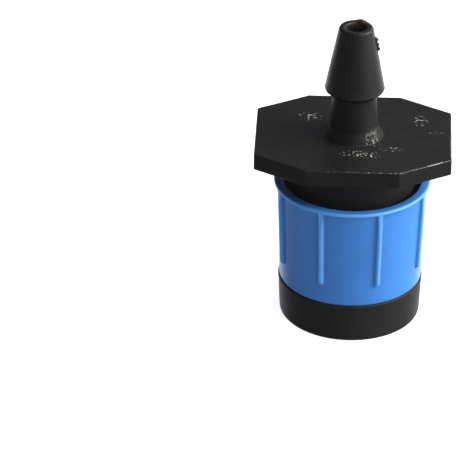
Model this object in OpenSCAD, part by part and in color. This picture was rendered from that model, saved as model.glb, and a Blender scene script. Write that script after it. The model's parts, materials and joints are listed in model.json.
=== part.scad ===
// Adjustable drip emitter. A barbed inlet body carries an octagonal flange and a
// threaded hub. The ribbed grip sleeve and its end cup screw up and down on the hub,
// and a needle in the cup trims the flow, which leaves through the ring-shaped gap
// between hub and sleeve, under the flange.
// +Z points along the barb, Z = 0 is the cup's resting face, X runs along the wide
// way of the flange, and all sizes are in millimetres.

/* [Flange] */
// Width of the octagonal flange along X
flange_w = 18.3; // [17:0.1:20]
// Depth of the flange along Y
flange_d = 15.1; // [14:0.1:16]
// Length of the front and back flats
front_flat = 8.7; // [7:0.1:10]
// Length of the left and right flats
side_flat = 9.3; // [7:0.1:10]
// Thickness of the flange
flange_t = 1.6; // [1:0.1:2.5]

/* [Barb] */
// Radius of the water inlet through the barb
inlet_r = 0.92; // [0.6:0.02:1.1]
// Radius of the flare where the stem leaves the flange
flare_r = 2.6; // [2.4:0.05:3.2]
// Radius of the stem above the flare
stem_r = 2.25; // [2.1:0.05:2.5]
// Radius of the neck under the barb
neck_r = 2.02; // [1.8:0.02:2.1]
// Largest radius of the barb
barb_r = 2.77; // [2.5:0.01:3]
// Radius of the tip
tip_r = 1.6; // [1.4:0.02:1.8]
// Height of the barb's edge above the flange
stem_h = 4.8; // [4:0.1:8]
// Length of the barb's cone
cone_h = 6.1; // [4:0.1:8]

/* [Hub] */
// Radius of the hub under the flange
hub_r = 5.9; // [5.8:0.02:6]
// Clear height between the sleeve's rim and the flange, as stored
outlet_gap = 3; // [2.9:0.02:4]
// Radius of the flow chamber inside the hub
chamber_r = 3.9; // [3.7:0.05:4]

/* [Grip sleeve] */
// Radius of the sleeve at its foot
sleeve_foot_r = 6.78; // [6.7:0.01:6.8]
// Radius of the sleeve below its rim
sleeve_top_r = 7; // [6.85:0.01:7.1]
// Radius of the flared rim
rim_r = 7.38; // [7.2:0.01:7.6]
// Radius of the mouth
mouth_r = 6.42; // [6.3:0.01:6.5]
// Height of the rim above the resting face
sleeve_top = 14.06; // [13.9:0.02:15]
// Number of grip ribs
rib_count = 8; // [4:1:16]
// Radius of a grip rib
rib_r = 0.26; // [0.2:0.02:0.34]
// Turn of the ribs against the flange, as stored
rib_turn = -0.3; // [-22.5:0.1:22.5]

/* [End cup] */
// Height of the cup's outer wall
cup_h = 3.92; // [3.6:0.02:4.2]
// Radius of the cup at its resting face
cup_foot_r = 6.54; // [6.2:0.02:6.6]
// Radius of the cup where it meets the sleeve
cup_top_r = 6.84; // [6.7:0.02:6.9]

/* [Screw] */
// Pitch of the thread, which is right-handed
pitch = 2; // [1.9:0.05:2.1]
// Travel from the stored setting to fully closed
close_travel = 2.5; // [2:0.1:2.5]
// Travel from the stored setting to the open stop
open_travel = 1; // [0.6:0.1:1]

/* [Flow path] */
// Number of ring grooves around the labyrinth core
groove_count = 5; // [3:1:6]
// Number of baffles in each ring groove
baffle_count = 8; // [4:1:10]
// Radius of the orifice that the needle closes
orifice_r = 0.6; // [0.5:0.02:0.7]
// Thickness of the silicone diaphragm
diaphragm_t = 0.55; // [0.4:0.05:0.6]

/* [Hidden] */
$fn = 96;

fit = 0.02;                 // radial clearance of pushed-in pieces
cut = 0.1;                  // overrun of a cutting body

// heights of the inlet body
flange_z = sleeve_top + outlet_gap;
flange_top = flange_z + flange_t;
edge_z = flange_top + stem_h;
edge_land = 0.25;
tip_z = edge_z + edge_land + cone_h;
roof_z = flange_z - 0.9;
hub_end = 5.2;
shoulder_z = 12.95;

// thread: both halves follow one helix, half a pitch apart
core_r = 4.85;
crest_out_r = 5.3;
spigot_in_r = 5.5;
crest_in_r = 5.02;
thread_root_w = 1.1;
thread_crest_w = 0.6;
thread_embed = 0.1;
lug_arc = 62;
lug_step = 90;
lug_facets = 8;
male_lugs = 10;
female_lugs = 4;
thread_z = 6.45;
stop_arc = 12;
stop_play = 4;
stop_w = 0.9;

// end cup and sleeve
spigot_r = 6.1;
spigot_top = 10.3;
cup_floor = 1.3;
foot_recess_r = 4.6;
foot_recess = 0.35;
edge_break = 0.25;
bead_z = 8.6;
bead = 0.15;
bead_h = 0.5;
rib_end_z = 6.2;
rib_taper = 0.3;

// valve
nozzle_z = 4.8;
nozzle_r = 1.3;
seat_play = 0.03;
washer_t = 0.65;
washer_r = 2.2;
washer_top = nozzle_z - close_travel - seat_play;
washer_z = washer_top - washer_t;
needle_r = 0.42;
needle_h = 1.5;

// stack inside the flow chamber, from the orifice upwards
plate_t = 1.3;
plate_z = hub_end;
ledge_z = 7.2;
ledge_w = 0.95;
seat_ring_z = 7.05;
seat_ring_r = 1.3;
seat_ring_w = 0.4;
core_z = ledge_z + diaphragm_t + 0.2;
core_top = roof_z - 1.6;
core_h = core_top - core_z;
core_groove_r = 3.2;
land_t = 0.4;
groove_h = (core_h - (groove_count + 1) * land_t) / groove_count;
notch_w = 1;
baffle_w = 0.35;
baffle_h = groove_h * 0.62;

// strainer thimble under the inlet
thimble_r = 1.5;
thimble_wall = 0.3;
thimble_seat_h = 1.1;
thimble_collar_r = 2.3;
thimble_collar_t = 0.4;
slot_count = 8;
slot_w = 0.28;

// eight corners of the flange
function octagon(w, d, a, b) = [
    [w / 2, b / 2], [a / 2, d / 2], [-a / 2, d / 2], [-w / 2, b / 2],
    [-w / 2, -b / 2], [-a / 2, -d / 2], [a / 2, -d / 2], [w / 2, -b / 2]];

// cross-section of a lug at one angle of the helix
function lug_ring(r_in, w_in, r_out, w_out, angle, z) = [
    for (p = [[r_in, -w_in / 2], [r_out, -w_out / 2], [r_out, w_out / 2], [r_in, w_in / 2]])
        [p[0] * cos(angle), p[0] * sin(angle), z + pitch * angle / 360 + p[1]]];

// helical lug from angle `from`, `arc` degrees long, on the helix that starts at z
module lug(r_in, w_in, r_out, w_out, from, arc, z) {
    n = lug_facets;
    points = [for (i = [0:n], p = lug_ring(r_in, w_in, r_out, w_out, from + arc * i / n, z)) p];
    sides = [for (i = [0:n - 1], k = [0:3]) let (m = (k + 1) % 4, a = 4 * i, b = 4 * i + 4)
        each [[a + k, a + m, b + m], [a + k, b + m, b + k]]];
    ends = [[0, 3, 2, 1], [4 * n, 4 * n + 1, 4 * n + 2, 4 * n + 3]];
    polyhedron(points, concat(sides, ends));
}

module male_thread() {
    for (i = [0:male_lugs - 1])
        lug(core_r - thread_embed, thread_root_w, crest_out_r, thread_crest_w,
            i * lug_step, lug_arc, thread_z);
}

module female_thread() {
    for (i = [0:female_lugs - 1])
        lug(crest_in_r, thread_crest_w, spigot_in_r + thread_embed, thread_root_w,
            i * lug_step, lug_arc, thread_z + pitch / 2);
}

// block at the foot of the hub's thread that ends the opening travel
module open_stop() {
    turn = -360 * open_travel / pitch;
    lug(core_r - thread_embed, stop_w, crest_out_r, stop_w,
        turn - stop_play - stop_arc, stop_arc, thread_z + pitch / 2);
}

module barb_profile() {
    polygon([[0, flange_top - flange_t / 2], [flare_r, flange_top - flange_t / 2],
        [flare_r, flange_top + 0.35], [stem_r, flange_top + 1.05], [neck_r, edge_z - 0.85],
        [barb_r - 0.1, edge_z - 0.08], [barb_r, edge_z], [barb_r, edge_z + edge_land],
        [tip_r, tip_z - 0.2], [tip_r - 0.2, tip_z], [0, tip_z]]);
}

module hub_profile() {
    polygon([[0, hub_end], [core_r - 0.2, hub_end], [core_r, hub_end + 0.2],
        [core_r, shoulder_z], [hub_r, shoulder_z + 0.35], [hub_r, flange_z + flange_t / 2],
        [0, flange_z + flange_t / 2]]);
}

module inlet_body() {
    color("#19191b") difference() {
        union() {
            translate([0, 0, flange_z]) linear_extrude(flange_t)
                polygon(octagon(flange_w, flange_d, front_flat, side_flat));
            rotate_extrude() barb_profile();
            rotate_extrude() hub_profile();
            male_thread();
            open_stop();
        }
        translate([0, 0, hub_end - cut]) cylinder(h = roof_z - hub_end + cut, r = chamber_r);
        translate([0, 0, roof_z - cut]) cylinder(h = thimble_seat_h + cut, r = thimble_r + fit);
        translate([0, 0, roof_z]) cylinder(h = tip_z - roof_z + cut, r = inlet_r);
    }
}

module inlet_strainer() {
    foot = core_top + 0.15;
    height = roof_z + thimble_seat_h - fit - foot;
    color("#c9ccd0") difference() {
        union() {
            translate([0, 0, foot]) cylinder(h = height, r = thimble_r);
            translate([0, 0, roof_z - thimble_collar_t])
                cylinder(h = thimble_collar_t, r = thimble_collar_r);
        }
        translate([0, 0, foot + 0.25]) cylinder(h = height, r = thimble_r - thimble_wall);
        for (i = [0:slot_count - 1])
            rotate(i * 360 / slot_count) translate([thimble_r / 2, -slot_w / 2, foot + 0.3])
                cube([thimble_r, slot_w, roof_z - thimble_collar_t - foot - 0.45]);
    }
}

module labyrinth_core() {
    color("#e3dfd2") difference() {
        union() {
            translate([0, 0, core_z]) cylinder(h = core_h, r = core_groove_r);
            for (k = [0:groove_count])
                translate([0, 0, core_z + k * (land_t + groove_h)])
                    cylinder(h = land_t, r = chamber_r - fit);
            for (k = [0:groove_count - 1], i = [0:baffle_count - 1])
                core_baffle(k, i);
        }
        for (k = [0:groove_count])
            rotate(180 * (k % 2)) translate([core_groove_r, -notch_w / 2,
                core_z + k * (land_t + groove_h) - cut])
                cube([chamber_r, notch_w, land_t + 2 * cut]);
        translate([0, 0, core_z - cut]) cylinder(h = 0.3 + cut, r = core_groove_r - 0.2);
    }
}

// baffle i of ring groove k, hung from the land above or stood on the land below
module core_baffle(k, i) {
    low = core_z + land_t + k * (land_t + groove_h);
    lift = i % 2 == 0 ? -cut : groove_h - baffle_h + cut;
    rotate((i + 0.5) * 360 / baffle_count) translate([core_groove_r - cut, -baffle_w / 2, low + lift])
        cube([chamber_r - core_groove_r - 0.05, baffle_w, baffle_h]);
}

module diaphragm() {
    color("#d9826b") translate([0, 0, ledge_z]) cylinder(h = diaphragm_t, r = chamber_r - 0.3);
}

module orifice_plate() {
    top = plate_z + plate_t;
    color("#e3dfd2") difference() {
        union() {
            translate([0, 0, nozzle_z]) cylinder(h = top - nozzle_z, r = nozzle_r);
            translate([0, 0, plate_z]) cylinder(h = ledge_z - plate_z, r = chamber_r - fit);
        }
        difference() {
            translate([0, 0, top]) cylinder(h = ledge_z, r = chamber_r - fit - ledge_w);
            translate([0, 0, top - cut]) cylinder(h = seat_ring_z - top + cut, r = seat_ring_r);
        }
        for (i = [0:3])
            rotate(45 + i * 90) translate([seat_ring_r + 1, -0.4, top])
                cube([chamber_r, 0.8, ledge_z]);
        translate([0, -0.15, seat_ring_z - 0.15]) cube([seat_ring_r + 1, 0.3, 1]);
        translate([0, 0, top]) cylinder(h = ledge_z, r = seat_ring_r - seat_ring_w);
        translate([0, 0, nozzle_z - cut]) cylinder(h = ledge_z, r = orifice_r);
    }
}

module valve_washer() {
    color("#c8c3b8") translate([0, 0, washer_z]) difference() {
        cylinder(h = washer_t, r = washer_r);
        translate([0, 0, -cut]) cylinder(h = washer_t + 2 * cut, r = needle_r + 0.05);
    }
}

module cup_profile() {
    polygon([[0, foot_recess], [foot_recess_r - foot_recess, foot_recess], [foot_recess_r, 0],
        [cup_foot_r - edge_break, 0], [cup_foot_r, edge_break],
        [cup_top_r, cup_h - 0.12], [cup_top_r - 0.12, cup_h], [spigot_r, cup_h],
        [spigot_r, bead_z - bead_h / 2], [spigot_r + bead, bead_z], [spigot_r, bead_z + bead_h / 2],
        [spigot_r, spigot_top - 0.2], [spigot_r - 0.2, spigot_top], [spigot_in_r, spigot_top],
        [spigot_in_r, cup_floor], [washer_r, cup_floor], [washer_r, washer_z],
        [needle_r, washer_z], [needle_r, washer_top + needle_h - 0.5],
        [0.12, washer_top + needle_h], [0, washer_top + needle_h]]);
}

module end_cup() {
    color("#1b1b1d") {
        rotate_extrude() cup_profile();
        female_thread();
    }
}

module sleeve_profile() {
    bore = spigot_r + fit;
    polygon([[bore, cup_h], [sleeve_foot_r - 0.12, cup_h], [sleeve_foot_r, cup_h + 0.12],
        [sleeve_top_r, sleeve_top - 0.5], [rim_r, sleeve_top - 0.3], [rim_r, sleeve_top - 0.08],
        [rim_r - 0.08, sleeve_top], [mouth_r + 0.2, sleeve_top], [mouth_r, sleeve_top - 0.2],
        [mouth_r, spigot_top + 0.75], [bore, spigot_top + 0.3],
        [bore, bead_z + bead_h / 2], [bore + bead, bead_z], [bore, bead_z - bead_h / 2]]);
}

// rib that leans outwards with the sleeve's wall and runs into the rim
module grip_rib() {
    lean = atan((sleeve_top_r - sleeve_foot_r) / (sleeve_top - 0.5 - cup_h));
    foot_r = sleeve_foot_r + (rib_end_z - cup_h) * tan(lean);
    translate([foot_r, 0, rib_end_z]) rotate([0, lean, 0]) {
        cylinder(h = sleeve_top - 0.35 - rib_end_z, r = rib_r, $fn = 32);
        translate([0, 0, -rib_taper]) cylinder(h = rib_taper, r1 = 0.05, r2 = rib_r, $fn = 32);
    }
}

module grip_sleeve() {
    color("#1c5fb4") {
        rotate_extrude() sleeve_profile();
        for (i = [0:rib_count - 1])
            rotate((i + 0.5) * 360 / rib_count + rib_turn) grip_rib();
    }
}

inlet_body();
inlet_strainer();
labyrinth_core();
diaphragm();
orifice_plate();
valve_washer();
end_cup();
grip_sleeve();
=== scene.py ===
"""Looks of the adjustable drip emitter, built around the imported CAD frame.

Every visible moulding is a closed skin of rings: circles round the barb's axis, and
rounded octagons on the flange. Lengths are in millimetres, and skin() turns them into
metres. The floor, the lights and the camera are in metres.
"""

import json
import math

import bpy
import numpy as np
from mathutils import Matrix, Vector, noise


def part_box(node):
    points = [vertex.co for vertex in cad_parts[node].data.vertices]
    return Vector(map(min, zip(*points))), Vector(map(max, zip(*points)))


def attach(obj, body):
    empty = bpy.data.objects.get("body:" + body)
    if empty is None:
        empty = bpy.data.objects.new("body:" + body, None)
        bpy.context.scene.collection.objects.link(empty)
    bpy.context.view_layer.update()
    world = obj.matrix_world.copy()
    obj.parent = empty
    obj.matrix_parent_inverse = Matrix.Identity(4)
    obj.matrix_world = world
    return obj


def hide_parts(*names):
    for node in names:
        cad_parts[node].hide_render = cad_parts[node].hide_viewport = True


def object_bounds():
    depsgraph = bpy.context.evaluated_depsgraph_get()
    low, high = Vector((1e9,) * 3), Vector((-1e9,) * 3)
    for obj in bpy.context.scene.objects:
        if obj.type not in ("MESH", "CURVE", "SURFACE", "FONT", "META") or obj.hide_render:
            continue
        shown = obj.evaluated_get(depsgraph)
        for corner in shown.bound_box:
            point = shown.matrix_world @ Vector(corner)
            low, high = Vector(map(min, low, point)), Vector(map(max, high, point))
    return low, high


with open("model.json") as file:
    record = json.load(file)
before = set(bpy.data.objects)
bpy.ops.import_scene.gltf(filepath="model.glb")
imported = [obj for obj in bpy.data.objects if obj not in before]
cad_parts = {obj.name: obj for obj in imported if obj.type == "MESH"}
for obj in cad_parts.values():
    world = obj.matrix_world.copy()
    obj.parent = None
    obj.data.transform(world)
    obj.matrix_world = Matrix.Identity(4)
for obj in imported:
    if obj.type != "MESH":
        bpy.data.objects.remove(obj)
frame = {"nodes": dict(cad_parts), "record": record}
cad_low, cad_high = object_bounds()

MM = 0.001
MOUNTS = {m["name"]: m for m in frame["record"]["mounts"]}


# ---------------------------------------------------------------- sizes from the frame

def box_mm(node):
    """Lowest and highest corner of a CAD node, in millimetres."""
    low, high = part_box(node)
    return low / MM, high / MM


body_low, body_high = box_mm("inlet_body")
sleeve_low, sleeve_high = box_mm("grip_sleeve")
cup_low, cup_high = box_mm("end_cup")
washer_low, washer_high = box_mm("valve_washer")
disc_low, disc_high = box_mm("diaphragm")

FLANGE_TOP = MOUNTS["flange_face"]["pos_m"][2] / MM
FLANGE_T = 1.6
FLANGE_Z = FLANGE_TOP - FLANGE_T
BARB_R = MOUNTS["inlet_barb"]["dims"]["r_mm"]
BARB_LAND = MOUNTS["inlet_barb"]["dims"]["length_mm"]
BARB_Z = MOUNTS["inlet_barb"]["pos_m"][2] / MM - BARB_LAND / 2
TIP_Z = body_high.z
HUB_END = body_low.z

# Inlet body, from the flange's flats to the strainer's seat
FRONT_FLAT, SIDE_FLAT = 8.7, 9.3
FLANGE_EDGE, FLANGE_CORNER = 0.13, 0.3
FLARE_R, STEM_R, NECK_R, TIP_R, INLET_R = 2.6, 2.25, 2.02, 1.6, 0.92
HUB_R, CORE_R, CHAMBER_R = 5.9, 4.85, 3.9
SHOULDER_Z = 12.95
ROOF_Z = FLANGE_Z - 0.9
THIMBLE_R, THIMBLE_SEAT = 1.52, 1.1

# Grip sleeve, then the end cup with its spigot and needle
RIB_COUNT = 8
RIB_TURN = -0.3
RIB_END_Z = 5.95
SLEEVE_FOOT_R, SLEEVE_TOP_R, MOUTH_R = 6.75, 7.07, 6.42
RIM_R = sleeve_high.x
CUP_H = sleeve_low.z
CUP_FOOT_R, CUP_TOP_R = 6.66, cup_high.x
SPIGOT_R, SPIGOT_IN_R = 6.1, 5.5
BEAD_Z, BEAD, BEAD_HALF = 8.6, 0.15, 0.25
NEEDLE_R = 0.42
POLE_R = 0.2

# Screw thread, cut into lugs: LUG_ARC degrees long, one every LUG_STEP degrees
PITCH, THREAD_Z, LUG_STEP, LUG_ARC = 2.0, 6.45, 90, 62
ROOT_HALF, FLANK = 0.55, 0.25


# ---------------------------------------------------------------- outlines and skins

PALE = "pale"


def line(p, q, n):
    """n points from p towards q, without q."""
    return [(p[0] + (q[0] - p[0]) * i / n, p[1] + (q[1] - p[1]) * i / n) for i in range(n)]


def arc(centre, radius, start, end, n):
    """n + 1 points on an arc, from start to end in degrees."""
    turn = [math.radians(start + (end - start) * i / n) for i in range(n + 1)]
    return [(centre[0] + radius * math.cos(t), centre[1] + radius * math.sin(t)) for t in turn]


def even_angles(count):
    return np.arange(count) * 2 * math.pi / count


def circle(angles, radius, z):
    return np.stack([radius * np.cos(angles), radius * np.sin(angles), np.full(len(angles), z)], 1)


def lathe(profile, angles):
    """One circular ring for each (radius, height) point of the profile."""
    return np.array([circle(angles, r, z) for r, z in profile])


def skin(name, rings, closed, material, pale=None):
    """Quads between neighbouring rings. closed joins the last ring to the first; otherwise each end is a fan.

    pale holds a number from 0 to 1 for each point, which the material reads: how pale the skin is there, from
    worn crumbs, painted highlights and painted light through thin plastic.
    """
    count, around = rings.shape[:2]
    points = rings.reshape(-1, 3) * MM
    i, j = np.meshgrid(np.arange(count if closed else count - 1), np.arange(around), indexing="ij")
    k, m = (i + 1) % count, (j + 1) % around
    quads = np.stack([i * around + j, k * around + j, k * around + m, i * around + m], -1)
    faces = quads.reshape(-1, 4).tolist()
    if not closed:
        poles = rings[[0, -1]].mean(1) * MM
        points = np.vstack([points, poles])
        first, last = count * around, count * around + 1
        low = (count - 1) * around
        for a in range(around):
            b = (a + 1) % around
            faces.append((first, a, b))
            faces.append((last, low + b, low + a))
    mesh = bpy.data.meshes.new(name)
    mesh.from_pydata(points.tolist(), [], faces)
    mesh.polygons.foreach_set("use_smooth", [True] * len(mesh.polygons))
    mesh.materials.append(material)
    if pale is not None:
        attribute = mesh.attributes.new(PALE, "FLOAT", "POINT")
        attribute.data.foreach_set("value", pale.ravel())
    mesh.validate()
    piece = bpy.data.objects.new(name, mesh)
    bpy.context.scene.collection.objects.link(piece)
    return piece


def add_piece(name, rings, closed, material, body, node, pale=None):
    """A skin that moves with its body and takes the place of a CAD node."""
    piece = skin(name, rings, closed, material, pale)
    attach(piece, body)
    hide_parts(node)
    return piece


def ripple(points, scale, seed):
    """Smooth noise from -1 to 1 at each point, with features about `scale` millimetres wide."""
    shift = Vector((seed * 7.3, seed * 3.1, seed * 5.7))
    flat = points.reshape(-1, 3) / scale
    values = [noise.noise(Vector(p) + shift) for p in flat.tolist()]
    return np.array(values).reshape(points.shape[:-1])


def bump_at(value, centre, half_width):
    """1 at the centre, falling smoothly to 0 one half width away."""
    return np.clip(1 - ((value - centre) / half_width) ** 2, 0, 1) ** 2


def helix_lugs(rings, shift, lugs, root_r, crest_r):
    """Raises thread lugs on rings of radius root_r, on the helix that starts at THREAD_Z + shift."""
    angle = np.degrees(np.arctan2(rings[..., 1], rings[..., 0])) % 360
    z = rings[..., 2]
    turn = np.round((z - THREAD_Z - shift) / PITCH - angle / 360)
    along = angle + 360 * turn
    offset = np.abs(z - THREAD_Z - shift - PITCH * along / 360)
    inside = (along >= 0) & (along % LUG_STEP <= LUG_ARC) & (along < lugs * LUG_STEP)
    raised = np.clip((ROOT_HALF - offset) / FLANK, 0, 1) * inside
    wall = np.abs(np.hypot(rings[..., 0], rings[..., 1]) - root_r) < 0.01
    scale = 1 + raised * wall * (crest_r / root_r - 1)
    rings[..., :2] *= scale[..., None]


# ---------------------------------------------------------------- materials

GRAIN_SIZE, GRAIN_DEPTH = 0.12, 0.004
BLACK_GLOSS, BLUE_GLOSS = 0.11, 0.17
# The scuff colour also paints the highlight line along the flange's front right top edge.
SCUFF_AND_HIGHLIGHT_COLOUR, DIRT_COLOUR = (0.2, 0.2, 0.205), (0.035, 0.018, 0.008)

# Scuffed places, dirt and grit: the middle of each, and how far it reaches along each axis
SCUFFS = [((0.9, -4.0, FLANGE_TOP), (2.4, 0.9, 0.4)), ((3.6, -2.9, FLANGE_TOP), (1.3, 0.5, 0.4)),
          ((1.9, -1.9, FLANGE_TOP + 0.5), (1.1, 1.1, 0.7)), ((6.2, 2.8, FLANGE_TOP), (0.8, 1.2, 0.5)),
          ((-4.2, 3.2, FLANGE_TOP), (1.4, 1.0, 0.4)), ((8.0, 0.4, FLANGE_TOP), (1.6, 0.25, 0.4))]
DIRT = ((0.35, 1.0, TIP_Z - 0.2), (1.1, 1.0, 0.9))
GRIT = ((-4.5, -5.9, FLANGE_TOP), (0.14, 0.11, 0.2))


def node_material(name):
    material = bpy.data.materials.new(name)
    material.use_nodes = True
    tree = material.node_tree
    return material, tree, tree.nodes["Principled BSDF"]


def add_noise(tree, size_mm, detail=3.0, roughness=0.55):
    """Noise in object space with features about size_mm wide."""
    coordinates = tree.nodes.new("ShaderNodeTexCoord")
    texture = tree.nodes.new("ShaderNodeTexNoise")
    texture.inputs["Scale"].default_value = 1 / (size_mm * MM)
    texture.inputs["Detail"].default_value = detail
    texture.inputs["Roughness"].default_value = roughness
    tree.links.new(coordinates.outputs["Object"], texture.inputs["Vector"])
    return texture.outputs["Fac"]


def add_range(tree, value, low, high, to_low, to_high):
    spread = tree.nodes.new("ShaderNodeMapRange")
    for name, number in (("From Min", low), ("From Max", high), ("To Min", to_low), ("To Max", to_high)):
        spread.inputs[name].default_value = number
    tree.links.new(value, spread.inputs["Value"])
    return spread.outputs["Result"]


def add_mix(tree, share, first, second):
    """Mixes two colours, each a link or an RGB triple."""
    mix = tree.nodes.new("ShaderNodeMix")
    mix.data_type = "RGBA"
    tree.links.new(share, mix.inputs["Factor"])
    for socket, colour in ((mix.inputs["A"], first), (mix.inputs["B"], second)):
        if isinstance(colour, tuple):
            socket.default_value = (*colour, 1)
        else:
            tree.links.new(colour, socket)
    return mix.outputs["Result"]


def add_math(tree, operation, first, second):
    node = tree.nodes.new("ShaderNodeMath")
    node.operation = operation
    for socket, value in zip(node.inputs, (first, second)):
        if isinstance(value, (int, float)):
            socket.default_value = value
        else:
            tree.links.new(value, socket)
    return node.outputs["Value"]


def add_bump(tree, shader, height, depth_mm):
    bump = tree.nodes.new("ShaderNodeBump")
    bump.inputs["Strength"].default_value = 1
    bump.inputs["Distance"].default_value = depth_mm * MM
    tree.links.new(height, bump.inputs["Height"])
    tree.links.new(bump.outputs["Normal"], shader.inputs["Normal"])


def add_pale(tree):
    """The skin's own number from 0 to 1 for how pale it is: painted light on the sleeve's ribs and rim, and
    worn crumbs and a painted highlight on the black edges.
    """
    attribute = tree.nodes.new("ShaderNodeAttribute")
    attribute.attribute_name = PALE
    return attribute.outputs["Fac"]


def add_clouds(tree, size_mm, low, high, colour, tint):
    """A colour that drifts into its tint in clouds about size_mm wide."""
    return add_mix(tree, add_range(tree, add_noise(tree, size_mm), low, high, 0, 1), colour, tint)


def add_blob(tree, centre_mm, size_mm):
    """1 round a point of the object, falling to 0 at size_mm (one figure for each axis) away from it."""
    coordinates = tree.nodes.new("ShaderNodeTexCoord")
    local = tree.nodes.new("ShaderNodeMapping")
    local.vector_type = "TEXTURE"
    local.inputs["Location"].default_value = Vector(centre_mm) * MM
    local.inputs["Scale"].default_value = Vector(size_mm) * MM
    length = tree.nodes.new("ShaderNodeVectorMath")
    length.operation = "LENGTH"
    tree.links.new(coordinates.outputs["Object"], local.inputs["Vector"])
    tree.links.new(local.outputs["Vector"], length.inputs[0])
    return add_range(tree, length.outputs["Value"], 1, 0.3, 0, 1)


def moulded_plastic(name, colour, tint, roughness, spread, gloss=0.5, painted_light_colour=None):
    """Satin moulded plastic: cloudy colour and gloss, and a fine grain.

    painted_light_colour is painted where the skin's pale number is high: painted light for light coming
    through thin ribs, and a painted highlight on a rim.
    """
    material, tree, shader = node_material(name)
    shader.inputs["Specular IOR Level"].default_value = gloss
    shade = add_clouds(tree, 2.2, 0.3, 0.7, colour, tint)
    if painted_light_colour is not None:
        shade = add_mix(tree, add_pale(tree), shade, painted_light_colour)
    tree.links.new(shade, shader.inputs["Base Color"])
    handled = add_noise(tree, 0.7, detail=5)
    satin = add_range(tree, handled, 0.3, 0.7, roughness - spread, roughness + spread)
    tree.links.new(satin, shader.inputs["Roughness"])
    add_bump(tree, shader, add_noise(tree, GRAIN_SIZE, detail=2), GRAIN_DEPTH)
    return material


def add_scuffs(tree):
    """Small pale scuff dots inside the places listed in SCUFFS."""
    pale_marked = add_blob(tree, *SCUFFS[0])
    for centre, size in SCUFFS[1:]:
        pale_marked = add_math(tree, "MAXIMUM", pale_marked, add_blob(tree, centre, size))
    dots = add_range(tree, add_noise(tree, 0.26, detail=0), 0.6, 0.76, 0, 1)
    return add_math(tree, "MULTIPLY", dots, pale_marked)


def add_rubbed_edges_and_highlight(tree):
    """Worn crumbs on the pale edges, and a painted highlight: where the edge value is strong the crumbs join
    into a continuous pale line, which paints the highlight along the flange's front right top edge.
    """
    rubbed_and_lit = add_range(tree, add_pale(tree), 0.3, 1, 0, 1)
    crumbs = add_range(tree, add_noise(tree, 0.24, detail=1), 0.56, 0.66, 0, 1)
    # Painted highlight: a continuous pale line where the edge value is strong.
    highlight_streak = add_range(tree, rubbed_and_lit, 0.5, 0.8, 0, 1)
    return add_math(tree, "MULTIPLY", rubbed_and_lit, add_math(tree, "MAXIMUM", crumbs, highlight_streak))


def add_dirt(tree):
    """Patchy dirt at the barb's mouth and a speck of grit on the flange's edge."""
    patches = add_range(tree, add_noise(tree, 0.35), 0.4, 0.6, 0.2, 1)
    dirt = add_math(tree, "MULTIPLY", add_blob(tree, *DIRT), patches)
    return add_math(tree, "MAXIMUM", dirt, add_blob(tree, *GRIT))


def worn_black_with_highlights(name, colour, tint):
    """Black moulding with pale scuffs on its edges and handled places, a painted highlight line along the
    flange's front right top edge, and brown dirt at the barb's mouth.
    """
    material, tree, shader = node_material(name)
    shader.inputs["Specular IOR Level"].default_value = BLACK_GLOSS
    base = add_clouds(tree, 1.8, 0.35, 0.65, colour, tint)
    specks = add_scuffs(tree)
    scuffs_and_highlight = add_math(tree, "MAXIMUM", specks, add_rubbed_edges_and_highlight(tree))
    # The pale mix paints scuffs, worn crumbs and the painted highlight line on the edges.
    pale_marked = add_mix(tree, scuffs_and_highlight, base, SCUFF_AND_HIGHLIGHT_COLOUR)
    tree.links.new(add_mix(tree, add_dirt(tree), pale_marked, DIRT_COLOUR), shader.inputs["Base Color"])
    handled = add_range(tree, add_noise(tree, 0.6, detail=5), 0.3, 0.7, 0.38, 0.54)
    polish = add_math(tree, "MULTIPLY", add_pale(tree), 0.25)
    tree.links.new(add_math(tree, "SUBTRACT", handled, polish), shader.inputs["Roughness"])
    grain = add_noise(tree, GRAIN_SIZE, detail=2)
    relief = add_math(tree, "ADD", grain, add_math(tree, "MULTIPLY", specks, 3))
    add_bump(tree, shader, relief, 0.005)
    return material


BLACK = worn_black_with_highlights("black_body", (0.0036, 0.0036, 0.0037), (0.005, 0.0048, 0.0048))
BLACK_CUP = moulded_plastic("black_cup", (0.0045, 0.0045, 0.005), (0.0065, 0.0065, 0.007), 0.54, 0.06,
                            gloss=0.1)
# The ribs and rim take painted light: paler colour for light through the thin ribs and for the rim's
# highlight.
BLUE = moulded_plastic("blue_sleeve", (0.0175, 0.094, 0.28), (0.02, 0.1, 0.3), 0.36, 0.05,
                       gloss=BLUE_GLOSS, painted_light_colour=(0.045, 0.165, 0.4))
NATURAL = moulded_plastic("core_plastic", (0.7, 0.67, 0.58), (0.76, 0.73, 0.64), 0.45, 0.06)
STRAINER = moulded_plastic("strainer_plastic", (0.52, 0.55, 0.56), (0.6, 0.62, 0.63), 0.4, 0.06)
SILICONE = moulded_plastic("silicone", (0.55, 0.2, 0.12), (0.62, 0.25, 0.16), 0.55, 0.06)
RUBBER = moulded_plastic("washer_rubber", (0.45, 0.42, 0.37), (0.52, 0.49, 0.44), 0.6, 0.06)


# ---------------------------------------------------------------- inlet body

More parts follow.
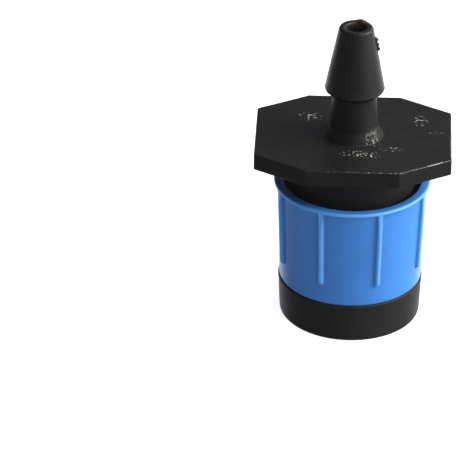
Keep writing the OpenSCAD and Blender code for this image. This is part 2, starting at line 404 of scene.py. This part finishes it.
def flange_outline(corner_points, edge_points):
    """Points and outward normals of the flange's rounded octagon. Each flat has a point at its middle."""
    corner = FLANGE_CORNER
    w, d, a, b = body_high.x, body_high.y, FRONT_FLAT / 2, SIDE_FLAT / 2
    corners = [Vector(p) for p in ((w, -b), (w, b), (a, d), (-a, d), (-w, b), (-w, -b), (-a, -d), (a, -d))]
    points, normals = [], []
    starts, ends, centres, turns = [], [], [], []
    for i, corner_point in enumerate(corners):
        before = (corner_point - corners[i - 1]).normalized()
        after = (corners[(i + 1) % 8] - corner_point).normalized()
        half = before.angle(after) / 2
        reach = corner * math.tan(half)
        inward = Vector((-before.y, before.x))
        starts.append(corner_point - before * reach)
        ends.append(corner_point + after * reach)
        centres.append(starts[-1] + inward * corner)
        turns.append((math.atan2(-inward.y, -inward.x), 2 * half))
    for i in range(8):
        begin, turn = turns[i]
        for k in range(corner_points):
            t = begin + turn * k / (corner_points - 1)
            normals.append((math.cos(t), math.sin(t)))
            points.append(tuple(centres[i] + corner * Vector(normals[-1])))
        for k in range(1, edge_points + 1):
            points.append(tuple(ends[i].lerp(starts[(i + 1) % 8], k / (edge_points + 1))))
            normals.append(normals[-1])
    return np.array(points), np.array(normals)


def barb_profile():
    """From the inlet bore's lower end over the tip and down the barb and the stem to the flange's top."""
    lip, mouth, land, neck, foot = 0.24, 0.2, 0.18, 0.18, 0.16
    flare_z = FLANGE_TOP + 1.0
    crest = [(BARB_R - 0.04, BARB_Z + BARB_LAND)] + arc((BARB_R - land, BARB_Z + 0.1), land, 20, -42, 5)
    profile = [(INLET_R, ROOF_Z + THIMBLE_SEAT)] + line((INLET_R, TIP_Z - 5), (INLET_R, TIP_Z - 0.35), 12)
    profile += arc((INLET_R + mouth, TIP_Z - 0.22), mouth, 180, 96, 6)
    profile += arc((TIP_R - lip, TIP_Z - lip), lip, 88, 0, 7)
    profile += line((TIP_R + 0.01, TIP_Z - 0.32), crest[0], 46) + crest
    profile += line((BARB_R - 0.16, BARB_Z - 0.11), (NECK_R + 0.13, BARB_Z - 0.44), 4)
    profile += arc((NECK_R + 0.2, BARB_Z - 0.62), neck, 115, 180, 4)
    profile += line((NECK_R + 0.02, BARB_Z - 0.74), (STEM_R, flare_z + 0.1), 22)
    profile += line((STEM_R + 0.01, flare_z), (FLARE_R - 0.02, FLANGE_TOP + 0.25), 8)
    profile += arc((FLARE_R + foot, FLANGE_TOP + foot), foot, 175, 268, 4)
    return profile


def hub_profile():
    """From the flange's underside down the hub and the core, and up the chamber to the inlet bore."""
    root, chamfer, bevel = 0.2, 0.2, 0.1
    profile = arc((HUB_R + root, FLANGE_Z - root), root, 110, 180, 4)
    profile += line((HUB_R, FLANGE_Z - 0.35), (HUB_R, SHOULDER_Z + 0.4), 8)
    profile += line((HUB_R, SHOULDER_Z + 0.35), (CORE_R, SHOULDER_Z), 3)
    profile += line((CORE_R, SHOULDER_Z), (CORE_R, HUB_END + chamfer), 62)
    profile += line((CORE_R, HUB_END + chamfer), (CORE_R - chamfer, HUB_END), 2)
    profile += line((CORE_R - chamfer, HUB_END), (CHAMBER_R + bevel, HUB_END), 2)
    profile += line((CHAMBER_R + bevel, HUB_END), (CHAMBER_R, HUB_END + bevel), 1)
    profile += line((CHAMBER_R, HUB_END + bevel), (CHAMBER_R, ROOF_Z), 10)
    profile += line((CHAMBER_R, ROOF_Z), (THIMBLE_R, ROOF_Z), 4)
    profile += line((THIMBLE_R, ROOF_Z), (THIMBLE_R, ROOF_Z + THIMBLE_SEAT), 2)
    return profile + line((THIMBLE_R, ROOF_Z + THIMBLE_SEAT), (INLET_R, ROOF_Z + THIMBLE_SEAT), 2)


def inlet_rings():
    outline, normals = flange_outline(corner_points=6, edge_points=35)
    angles = np.arctan2(outline[:, 1], outline[:, 0])
    edge, steps = FLANGE_EDGE, 34

    def plate(inset, z):
        return np.column_stack([outline - inset * normals, np.full(len(outline), z)])

    def blend(radius, z, share):
        """A ring between a circle, at share 0, and the flange's outline, at share 1."""
        return circle(angles, radius, z) * (1 - share) + plate(edge, z) * share

    rings = [circle(angles, r, z) for r, z in barb_profile()]
    rings += [blend(FLARE_R + 0.2, FLANGE_TOP, i / steps) for i in range(1, steps)]
    rings += [plate(inset, FLANGE_TOP) for inset in (edge + 0.12, edge)]
    for t in np.radians([18, 36, 54, 72, 90]):
        rings.append(plate(edge * (1 - math.sin(t)), FLANGE_TOP - edge * (1 - math.cos(t))))
    rings += [plate(0, z) for z in np.linspace(FLANGE_TOP - edge - 0.08, FLANGE_Z + edge + 0.08, 5)]
    for t in np.radians([0, 30, 60, 90]):
        rings.append(plate(edge * (1 - math.cos(t)), FLANGE_Z + edge * (1 - math.sin(t))))
    rings += [blend(HUB_R + 0.2, FLANGE_Z, share) for share in np.linspace(0.94, 0, 10)]
    rings += [circle(angles, r, z) for r, z in hub_profile()]
    return np.array(rings), angles


def push_out(rings, amount):
    """Moves points away from the barb's axis by amount, in millimetres."""
    radius = np.maximum(np.hypot(rings[..., 0], rings[..., 1]), 1e-6)
    rings[..., :2] *= (1 + amount / radius)[..., None]


def mould_marks(rings, angles):
    """Parting line, burrs, gate crumbs, waviness and scuffs of the inlet body, all as relief."""
    x, y, z = rings[..., 0], rings[..., 1], rings[..., 2]
    radius = np.hypot(x, y)
    around = np.degrees(angles)[None, :]
    barb = (z > FLANGE_TOP + 0.3) & (radius > INLET_R + 0.35)
    beside = np.abs(y)

    seam_width, seam = 0.09, 0.035
    push_out(rings, seam * np.clip(1 - beside / seam_width, 0, 1) * barb)

    burr, burr_depth, burr_half, burr_pitch = 0.27, 1.72, 0.72, 0.46
    right = (x > 0) * barb * np.clip((0.16 - beside) / 0.08, 0, 1)
    lumps = 0.75 + 0.3 * np.sin((z - TIP_Z) * 2 * math.pi / burr_pitch) + 0.35 * ripple(rings, 0.25, 3)
    push_out(rings, burr * (np.abs(z - TIP_Z + burr_depth) < burr_half) * np.clip(lumps, 0.2, 1) * right)

    nub, nub_angle, nub_half = 0.22, 70, 26
    lip = bump_at(z, TIP_Z, 0.25) * bump_at(around, nub_angle, nub_half) * (radius > INLET_R + 0.1)
    z += nub * lip * np.clip(0.6 + ripple(rings, 0.3, 5), 0, 1)

    gate_angle, gate_half = -38, 42
    foot = bump_at(z, FLANGE_TOP + 0.5, 0.9) * (radius < FLARE_R + 0.3)
    gate = foot * bump_at(around, gate_angle, gate_half)
    push_out(rings, gate * (0.12 + 0.16 * ripple(rings, 0.35, 8)))
    push_out(rings, 0.012 * barb * ripple(rings, 1.1, 2))

    top = (np.abs(z - FLANGE_TOP) < 0.15) & (radius > FLARE_R + 0.1)
    z += top * (0.02 * ripple(rings, 3.0, 4) + 0.006 * ripple(rings, 0.8, 6))
    scuff = bump_at(x, 1.2, 2.2) * bump_at(y, -4.3, 0.9) * top
    z += 0.05 * scuff * ripple(rings, 0.3, 9)


def edge_wear_and_highlight(rings):
    """Worn crumbs on the flange's edges, most at the front right, where the full value paints a highlight
    line along the top edge, and a painted glint on the barb's lip. 0 elsewhere.
    """
    x, y, z = rings[..., 0], rings[..., 1], rings[..., 2]
    radius = np.hypot(x, y)
    rounded = np.abs(np.gradient(z, axis=0)) > 0.002
    front = np.clip((1.5 - y) / 3, 0, 1) * np.clip((x + 5) / 5, 0.15, 1)
    # Painted highlight: the full value at the front right top edge paints a continuous pale line there.
    right = bump_at(x + y, 2.2, 2.6) * (x > 4)
    top = bump_at(z, FLANGE_TOP - 0.03, 0.07) * np.maximum(0.75 * front, right)
    bottom = 0.25 * bump_at(z, FLANGE_Z, 0.12)
    flange = rounded * np.maximum(top, bottom)
    # Painted glint: a paler, glossier band on the barb's lip.
    lip = 0.35 * bump_at(z, TIP_Z, 0.22) * (radius > INLET_R + 0.05)
    return np.where(radius > HUB_R + 0.5, flange, lip)


def make_inlet_body():
    lug_count, crest_r = 10, 5.3
    rings, angles = inlet_rings()
    wear_and_highlight = edge_wear_and_highlight(rings)
    helix_lugs(rings, 0, lug_count, CORE_R, crest_r)
    mould_marks(rings, angles)
    add_piece("inlet_moulding", rings, True, BLACK, "inlet", "inlet_body", wear_and_highlight)


# ---------------------------------------------------------------- grip sleeve

def rib_angles():
    """Angles close together across each rib and wider between them, and each one's distance from its rib."""
    reach = 3.2
    across = np.linspace(-reach, reach, 23)
    gap = np.linspace(reach, 360 / RIB_COUNT - reach, 16)[1:-1]
    offsets = np.concatenate([across, gap])
    centres = (np.arange(RIB_COUNT) + 0.5) * 360 / RIB_COUNT + RIB_TURN
    return np.radians((centres[:, None] + offsets).ravel()), np.radians(np.tile(offsets, RIB_COUNT))


def sleeve_rings():
    """Rings up the ribbed wall and over the rim, then down the mouth and the bore to the foot."""
    angles, from_rib = rib_angles()
    foot, top, bore = CUP_H, sleeve_high.z, SPIGOT_R + 0.02
    edge, under_rim, rim_low, rim_high, mouth = 0.14, 0.14, 0.13, 0.2, 0.24
    wall_foot = SLEEVE_FOOT_R + 0.02
    wall_low = SLEEVE_FOOT_R + 0.03
    outer = arc((SLEEVE_FOOT_R - edge, foot + edge), edge, -90, 0, 4)
    outer += line((SLEEVE_FOOT_R + 0.005, foot + 0.3), (wall_foot, RIB_END_Z - 0.3), 5)
    outer += line((wall_foot, RIB_END_Z - 0.3), (wall_low, RIB_END_Z + 0.6), 16)
    outer += line((wall_low, RIB_END_Z + 0.6), (SLEEVE_TOP_R, top - 0.48), 16)
    outer += arc((SLEEVE_TOP_R + under_rim, top - 0.46), under_rim, 175, 100, 4)
    outer += arc((RIM_R - rim_low, top - rim_high), rim_low, -80, 0, 4)
    outer += arc((RIM_R - rim_high, top - rim_high), rim_high, 8, 80, 6)
    outer += line((RIM_R - 0.26, top - 0.003), (MOUTH_R + 0.3, top), 4)
    outer += arc((MOUTH_R + mouth, top - mouth), mouth, 95, 180, 6)
    step_r, step_z, bore_z = MOUTH_R - 0.05, cup_high.z + 0.75, cup_high.z + 0.3
    inner = line((MOUTH_R, top - 0.5), (step_r, step_z), 6)
    inner += line((step_r, step_z), (bore, bore_z), 3)
    inner += line((bore, bore_z), (bore, BEAD_Z + BEAD_HALF), 3)
    inner += line((bore, BEAD_Z + BEAD_HALF), (bore + BEAD, BEAD_Z), 2)
    inner += line((bore + BEAD, BEAD_Z), (bore, BEAD_Z - BEAD_HALF), 2)
    inner += line((bore, BEAD_Z - BEAD_HALF), (bore, foot), 6) + [(bore, foot)]
    rings = lathe(outer + inner, angles)
    return rings, raise_ribs(rings, from_rib, len(outer))


def raise_ribs(rings, from_rib, outer_count):
    """Rounded ribs that stand on the wall and run into the rim. Returns how pale ribs and rim are painted:
    painted light through the thin ribs and a painted highlight on the rim's outer edge.
    """
    half_width, height, fillet, fillet_height, end = 0.27, 0.36, 0.06, 0.1, 0.42
    outer = rings[:outer_count]
    radius = np.hypot(outer[..., 0], outer[..., 1])
    z = outer[..., 2]
    across = np.abs(from_rib)[None, :] * radius
    crown = np.sqrt(np.clip(1 - (across / half_width) ** 2.4, 0, 1))
    foot = np.clip((half_width + fillet - across) / fillet, 0, 1) ** 2 * fillet_height
    rise = np.clip((z - RIB_END_Z) / end, 0, 1)
    start = np.sqrt(rise * (2 - rise))
    proud = height * np.maximum(crown, foot) * start
    limit = RIM_R - 0.03 - radius
    below_rim = z < sleeve_high.z - 0.1
    push_out(outer, np.clip(np.minimum(proud, limit), 0, None) * below_rim)
    # Painted highlight on the rim's outer edge and painted light through the thin ribs, both as paler colour.
    rim = bump_at(radius, RIM_R, 0.34) * (z > sleeve_high.z - 0.45)
    pale = np.zeros(rings.shape[:2])
    pale[:outer_count] = np.maximum(rim, crown * start * below_rim)
    return pale


def make_sleeve():
    rings, pale = sleeve_rings()
    push_out(rings, 0.008 * ripple(rings, 4.0, 11))
    add_piece("grip_sleeve_moulding", rings, True, BLUE, "turning_cap", "grip_sleeve", pale)


# ---------------------------------------------------------------- end cup

def cup_rings():
    """Rings from the middle of the foot, up the wall and the spigot, and down inside to the needle's tip."""
    floor, recess_r, recess = 1.3, 4.6, 0.35
    recess_round, recess_edge, foot, shoulder, chamfer, corner = 0.15, 0.1, 0.32, 0.14, 0.2, 0.3
    crest = SPIGOT_R + BEAD - 0.01
    shelf, needle_top = washer_low.z, washer_high.z + 1.5
    profile = [(0.35, recess - 0.12), (0.42, recess), (1.2, recess)]
    profile += line((1.5, recess), (recess_r - 0.5, recess), 5)
    profile += arc((recess_r - 0.45, recess - recess_round), recess_round, 90, 20, 3)
    profile += arc((recess_r, recess_edge), recess_edge, 190, 270, 3)
    profile += line((recess_r + 0.2, 0), (CUP_FOOT_R - 0.5, 0), 3)
    profile += arc((CUP_FOOT_R - foot, foot), foot, -90, -5, 8)
    profile += line((CUP_FOOT_R + 0.01, 0.45), (CUP_TOP_R - 0.02, CUP_H - 0.25), 12)
    profile += arc((CUP_TOP_R - shoulder, CUP_H - shoulder), shoulder, 0, 90, 4)
    profile += [(SPIGOT_R + 0.1, CUP_H), (SPIGOT_R, CUP_H + 0.02)]
    profile += line((SPIGOT_R, CUP_H + 0.3), (SPIGOT_R, BEAD_Z - BEAD_HALF), 4)
    profile += line((SPIGOT_R, BEAD_Z - BEAD_HALF), (crest, BEAD_Z), 2)
    profile += line((crest, BEAD_Z), (SPIGOT_R, BEAD_Z + BEAD_HALF), 2)
    profile += line((SPIGOT_R, BEAD_Z + BEAD_HALF), (SPIGOT_R, cup_high.z - chamfer), 3)
    profile += line((SPIGOT_R, cup_high.z - chamfer), (SPIGOT_R - chamfer, cup_high.z), 3)
    profile += line((SPIGOT_R - chamfer, cup_high.z), (SPIGOT_IN_R, cup_high.z), 2)
    profile += line((SPIGOT_IN_R, cup_high.z), (SPIGOT_IN_R, floor + corner), 60)
    profile += arc((SPIGOT_IN_R - corner, floor + corner), corner, 0, -90, 4)
    profile += line((SPIGOT_IN_R - 0.6, floor), (washer_high.x, floor), 4)
    profile += line((washer_high.x, floor), (washer_high.x, shelf), 2)
    profile += line((washer_high.x, shelf), (NEEDLE_R, shelf), 4)
    profile += line((NEEDLE_R, shelf), (NEEDLE_R, needle_top - 0.5), 6)
    profile += line((NEEDLE_R, needle_top - 0.5), (0.12, needle_top - 0.02), 3)
    profile += [(0.12, needle_top - 0.02), (0.05, needle_top)]
    return lathe(profile, even_angles(192))


def make_cup():
    lug_count, crest_r = 4, 5.02
    rings = cup_rings()
    helix_lugs(rings, PITCH / 2, lug_count, SPIGOT_IN_R, crest_r)
    push_out(rings, 0.006 * ripple(rings, 4.0, 15))
    add_piece("end_cup_moulding", rings, False, BLACK_CUP, "turning_cap", "end_cup")


# ---------------------------------------------------------------- inside pieces

def rounded_disc(low, high, hole_r, edge):
    """Profile of a flat ring with rounded edges, or of a plain disc where hole_r is 0."""
    outer_r, z0, z1 = high.x, low.z, high.z
    flat_start, flat_end = hole_r + edge + 0.2, outer_r - edge - 0.1
    bottom, top = [(POLE_R, z0)], [(POLE_R, z1)]
    if hole_r > 0:
        bottom = arc((hole_r + edge, z0 + edge), edge, 180, 270, 3)
        top = arc((hole_r + edge, z1 - edge), edge, 90, 180, 3)
    profile = bottom + line((flat_start, z0), (flat_end, z0), 6)
    profile += arc((outer_r - edge, z0 + edge), edge, -90, 0, 4)
    profile += arc((outer_r - edge, z1 - edge), edge, 0, 90, 4)
    return profile + line((flat_end, z1), (flat_start, z1), 6) + top


def make_inside():
    """The diaphragm and the washer as skins. The other inside pieces keep their CAD meshes."""
    disc = lathe(rounded_disc(disc_low, disc_high, 0, 0.12), even_angles(96))
    add_piece("diaphragm_disc", disc, False, SILICONE, "inlet", "diaphragm")
    ring = lathe(rounded_disc(washer_low, washer_high, NEEDLE_R + 0.05, 0.08), even_angles(96))
    add_piece("washer_ring", ring, True, RUBBER, "washer", "valve_washer")
    kept = {"inlet_strainer": STRAINER, "labyrinth_core": NATURAL, "orifice_plate": NATURAL}
    for node, material in kept.items():
        mesh = frame["nodes"][node].data
        mesh.materials.clear()
        mesh.materials.append(material)


# ---------------------------------------------------------------- stage, light, camera

def make_stage():
    material, tree, shader = node_material("pale_floor")
    paper = add_noise(tree, 6)
    tree.links.new(add_mix(tree, paper, (0.9, 0.9, 0.9), (0.93, 0.93, 0.93)), shader.inputs["Base Color"])
    shader.inputs["Roughness"].default_value = 0.9
    bpy.ops.mesh.primitive_plane_add(size=6, location=(0, 0, 0))
    floor = bpy.context.object
    floor.name = "floor"
    floor.data.materials.append(material)
    floor.visible_glossy = False
    return floor


OVERHEAD, HORIZON, SIDE_GLOW, BACK_GLOW = 0.09, 0.31, 4.0, 2.6
LIGHT_DISTANCE = 0.4
KEY_WAY, KEY_SIZE, KEY_POWER, KEY_COLOUR = (0.84, -0.04, 0.54), 0.3, 5.9, (1, 0.92, 0.78)
TOP_WAY, TOP_SIZE, TOP_POWER = (0.25, -0.42, 0.87), 0.09, 0.42
FLOOR_POWER = 3.0
VEIL = 0.004


def add_area_light(name, way, size, power):
    """Soft square light, LIGHT_DISTANCE away in the given direction and aimed at the middle of the object."""
    light = bpy.data.lights.new(name, "AREA")
    light.shape = "RECTANGLE"
    light.size = light.size_y = size
    light.energy = power
    lamp = bpy.data.objects.new(name, light)
    aim = (cad_low + cad_high) / 2
    lamp.location = Vector(way) * LIGHT_DISTANCE
    lamp.rotation_mode = "QUATERNION"
    lamp.rotation_quaternion = (aim - lamp.location).to_track_quat("-Z", "Y")
    bpy.context.scene.collection.objects.link(lamp)
    return lamp


def make_world():
    """Studio surroundings: dim overhead, brighter at the horizon, and brightest at the right and behind."""
    world = bpy.data.worlds.new("studio")
    bpy.context.scene.world = world
    world.use_nodes = True
    tree = world.node_tree
    direction = tree.nodes.new("ShaderNodeTexCoord")
    axes = tree.nodes.new("ShaderNodeSeparateXYZ")
    tree.links.new(direction.outputs["Generated"], axes.inputs["Vector"])
    horizon = add_range(tree, axes.outputs["Z"], 0.45, 0.1, OVERHEAD, HORIZON)
    right = add_range(tree, axes.outputs["X"], 0, 1, 0, SIDE_GLOW)
    above_floor = add_range(tree, axes.outputs["Z"], -0.15, 0.3, 0.15, 1)
    side = add_math(tree, "MULTIPLY", right, above_floor)
    behind = add_range(tree, axes.outputs["Y"], 0.4, 0.9, 0, BACK_GLOW)
    low_down = add_range(tree, axes.outputs["Z"], 0.08, -0.12, 0, 1)
    glow = add_math(tree, "ADD", side, add_math(tree, "MULTIPLY", behind, low_down))
    surroundings = tree.nodes["Background"]
    surroundings.inputs["Color"].default_value = (0.92, 0.97, 1.06, 1)
    tree.links.new(add_math(tree, "ADD", horizon, glow), surroundings.inputs["Strength"])


def light_only(light, floor, state):
    """Makes a light reach only the floor, or everything but the floor."""
    group = bpy.data.collections.new(light.name + "_reach")
    group.objects.link(floor)
    light.light_linking.receiver_collection = group
    group.collection_objects[0].light_linking.link_state = state


def add_floor_sun():
    """Shadowless sun, so that the floor stays evenly pale."""
    sun = bpy.data.lights.new("floor_light", "SUN")
    sun.energy = FLOOR_POWER
    sun.use_shadow = False
    lamp = bpy.data.objects.new("floor_light", sun)
    bpy.context.scene.collection.objects.link(lamp)
    return lamp


def make_light(floor):
    make_world()
    key = add_area_light("key", KEY_WAY, KEY_SIZE, KEY_POWER)
    key.data.color = KEY_COLOUR
    top = add_area_light("top", TOP_WAY, TOP_SIZE, TOP_POWER)
    light_only(key, floor, "EXCLUDE")
    light_only(top, floor, "EXCLUDE")
    light_only(add_floor_sun(), floor, "INCLUDE")


def set_view():
    """Plain view, with its black lifted by a faint veil."""
    view = bpy.context.scene.view_settings
    view.view_transform = "Standard"
    view.use_curve_mapping = True
    view.curve_mapping.black_level = (-VEIL, -VEIL, -VEIL)
    view.curve_mapping.update()


def make_camera():
    """Looks down at the object's front from 30 degrees up, with the object right of the middle."""
    elevation, azimuth, roll = math.radians(29.77), math.radians(2.22), math.radians(0.53)
    foot_right, foot_down, foot_ahead = 10.91 * MM, 6.73 * MM, 366.6 * MM
    data = bpy.data.cameras.new("camera")
    data.sensor_width = 36
    data.lens = 293.3
    data.clip_start, data.clip_end = 0.01, 10
    camera = bpy.data.objects.new("camera", data)
    turn = Matrix.Rotation(azimuth, 4, "Z") @ Matrix.Rotation(math.pi / 2 - elevation, 4, "X")
    turn = turn @ Matrix.Rotation(roll, 4, "Z")
    camera.matrix_world = turn @ Matrix.Translation((-foot_right, foot_down, foot_ahead))
    bpy.context.scene.collection.objects.link(camera)
    bpy.context.scene.camera = camera


make_camera()
set_view()
make_light(make_stage())
make_inlet_body()
make_sleeve()
make_cup()
make_inside()
